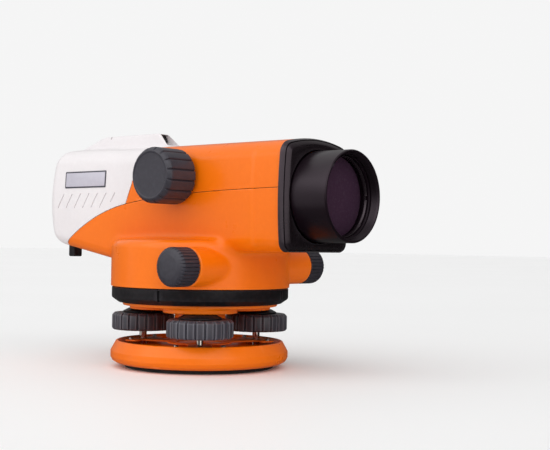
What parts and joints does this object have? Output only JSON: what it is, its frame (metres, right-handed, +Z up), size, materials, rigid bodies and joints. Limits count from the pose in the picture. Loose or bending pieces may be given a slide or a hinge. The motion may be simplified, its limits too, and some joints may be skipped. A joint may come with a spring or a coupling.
{
  "type": "automatic level",
  "caption": "Builder's automatic level with levelling foot screws, horizontal circle, slow-motion knobs, focusing telescope, sight rail and circular level on a round base.",
  "frame": {"origin": "on the vertical axis at the underside of the base, where the tripod head seats it", "axes": "+Z up along the vertical axis; +X along the line of sight towards the objective; -Y towards the focusing knob"},
  "size_m": [0.226, 0.1272, 0.1413],
  "materials": {
    "orange_paint": "smooth satin orange enamel",
    "white_plastic": "satin off-white moulded plastic",
    "black_plastic": "fine-grained black moulded plastic",
    "black_anodised": "glossy black anodised tube",
    "knob_rubber": "dark grey moulded rubber",
    "soft_rubber": "matt black rubber",
    "steel": "turned steel",
    "brass": "machined brass",
    "bench_alloy": "die-cast alloy",
    "lens_glass": "clear polished glass",
    "coated_lens": "purple anti-reflection coating",
    "scale_white": "engraved circle",
    "label": "plain label",
    "mirror": "silvered glass",
    "level_liquid": "level liquid under glass"
  },
  "bodies": {
    "base": {"base_plate": "orange_paint", "base_gasket": "soft_rubber"},
    "levelling_plate": {"spring_plate": "orange_paint", "plate_screw_1": "steel", "plate_screw_2": "steel", "plate_screw_3": "steel", "plate_screw_4": "steel", "plate_screw_5": "steel", "plate_screw_6": "steel"},
    "tribrach": {"tribrach": "orange_paint", "spindle": "steel", "screw_collar_a": "black_plastic", "screw_collar_b": "black_plastic", "screw_collar_c": "black_plastic"},
    "foot_a": {"foot_screw_a": "steel", "foot_knob_a": "knob_rubber"},
    "foot_b": {"foot_screw_b": "steel", "foot_knob_b": "knob_rubber"},
    "foot_c": {"foot_screw_c": "steel", "foot_knob_c": "knob_rubber"},
    "circle": {"circle_ring": "black_plastic", "circle_scale": "scale_white"},
    "clutch": {"worm_wheel": "brass"},
    "telescope": {"lower_case": "orange_paint", "upper_cover": "orange_paint", "rear_cover": "white_plastic", "sight_rail": "white_plastic", "sight_window": "black_anodised", "label_plate": "label", "front_flange": "black_plastic", "objective_tube": "black_anodised", "objective_lens": "coated_lens", "lens_ring": "black_plastic", "optical_bench": "bench_alloy", "guide_rod": "steel", "compensator_frame": "bench_alloy", "roof_prism": "lens_glass", "reticle_cell": "bench_alloy", "eyepiece_tube": "black_plastic", "circle_reader": "black_plastic", "level_housing": "black_plastic", "level_vial": "level_liquid", "bearing_sleeve": "brass"},
    "slow_motion": {"tangent_shaft": "steel", "tangent_knob_near": "knob_rubber", "tangent_knob_far": "knob_rubber"},
    "focus_control": {"focus_knob": "knob_rubber", "focus_shaft": "steel", "focus_pinion": "brass"},
    "focus_carriage": {"lens_carriage": "bench_alloy", "focusing_lens": "lens_glass", "focus_rack": "steel"},
    "compensator": {"pendulum": "brass", "pendulum_prism": "lens_glass"},
    "dioptre": {"dioptre_ring": "black_plastic", "eyecup": "soft_rubber", "eyepiece_lens": "lens_glass"},
    "level_mirror": {"mirror_frame": "black_plastic", "mirror_glass": "mirror"}
  },
  "joints": [
    {"name": "tilt_across", "type": "hinge", "parent": "base", "child": "levelling_plate", "pos_m": [0, 0, 0.014], "axis": [0.6909, -0.723, 0], "range_deg": [-2.47, 2.47]},
    {"name": "tilt_along", "type": "hinge", "parent": "levelling_plate", "child": "tribrach", "pos_m": [-0.01392, 0.01457, 0.014], "axis": [-0.723, -0.6909, 0], "range_deg": [-1.43, 1.43]},
    {"name": "foot_turn_a", "type": "hinge", "parent": "tribrach", "child": "foot_a", "pos_m": [0.02784, -0.02914, 0.0255], "axis": [0, 0, 1], "range_deg": [-720, 720]},
    {"name": "foot_turn_b", "type": "hinge", "parent": "tribrach", "child": "foot_b", "pos_m": [0.01131, 0.03868, 0.0255], "axis": [0, 0, 1], "range_deg": [-720, 720]},
    {"name": "foot_turn_c", "type": "hinge", "parent": "tribrach", "child": "foot_c", "pos_m": [-0.03915, -0.00954, 0.0255], "axis": [0, 0, 1], "range_deg": [-720, 720]},
    {"name": "circle_turn", "type": "hinge", "parent": "tribrach", "child": "circle", "pos_m": [0, 0, 0.044], "axis": [0, 0, 1], "continuous": true},
    {"name": "coarse_turn", "type": "hinge", "parent": "tribrach", "child": "clutch", "pos_m": [0, 0, 0.056], "axis": [0, 0, 1], "continuous": true},
    {"name": "fine_turn", "type": "hinge", "parent": "clutch", "child": "telescope", "pos_m": [0, 0, 0.06], "axis": [0, 0, 1], "continuous": true},
    {"name": "slow_motion_turn", "type": "hinge", "parent": "telescope", "child": "slow_motion", "pos_m": [0.0358, 0, 0.0604], "axis": [0, 1, 0], "continuous": true},
    {"name": "focus_turn", "type": "hinge", "parent": "telescope", "child": "focus_control", "pos_m": [0.0096, -0.04, 0.1114], "axis": [0, 1, 0], "range_deg": [-180, 180]},
    {"name": "focus_travel", "type": "slide", "parent": "telescope", "child": "focus_carriage", "axis": [1, 0, 0], "range_m": [-0.00943, 0.00943]},
    {"name": "compensator_swing", "type": "hinge", "parent": "telescope", "child": "compensator", "pos_m": [-0.04, 0, 0.12], "axis": [0, 1, 0], "range_deg": [-0.25, 0.25]},
    {"name": "dioptre_turn", "type": "hinge", "parent": "telescope", "child": "dioptre", "pos_m": [-0.108, 0, 0.1], "axis": [1, 0, 0], "range_deg": [-150, 150]},
    {"name": "mirror_tilt", "type": "hinge", "parent": "telescope", "child": "level_mirror", "pos_m": [0.0095, 0.0415, 0.088], "axis": [0, 1, 0], "range_deg": [-45, 45]}
  ],
  "couplings": [
    {"joint": "tilt_along", "follows": "foot_turn_a", "ratio": -0.0019746},
    {"joint": "tilt_across", "follows": "foot_turn_b", "ratio": -0.0034201},
    {"joint": "foot_turn_c", "follows": "foot_turn_b", "ratio": -1},
    {"joint": "slow_motion_turn", "follows": "fine_turn", "ratio": 72},
    {"joint": "focus_travel", "follows": "focus_turn", "m_per_rad": -0.003}
  ]
}
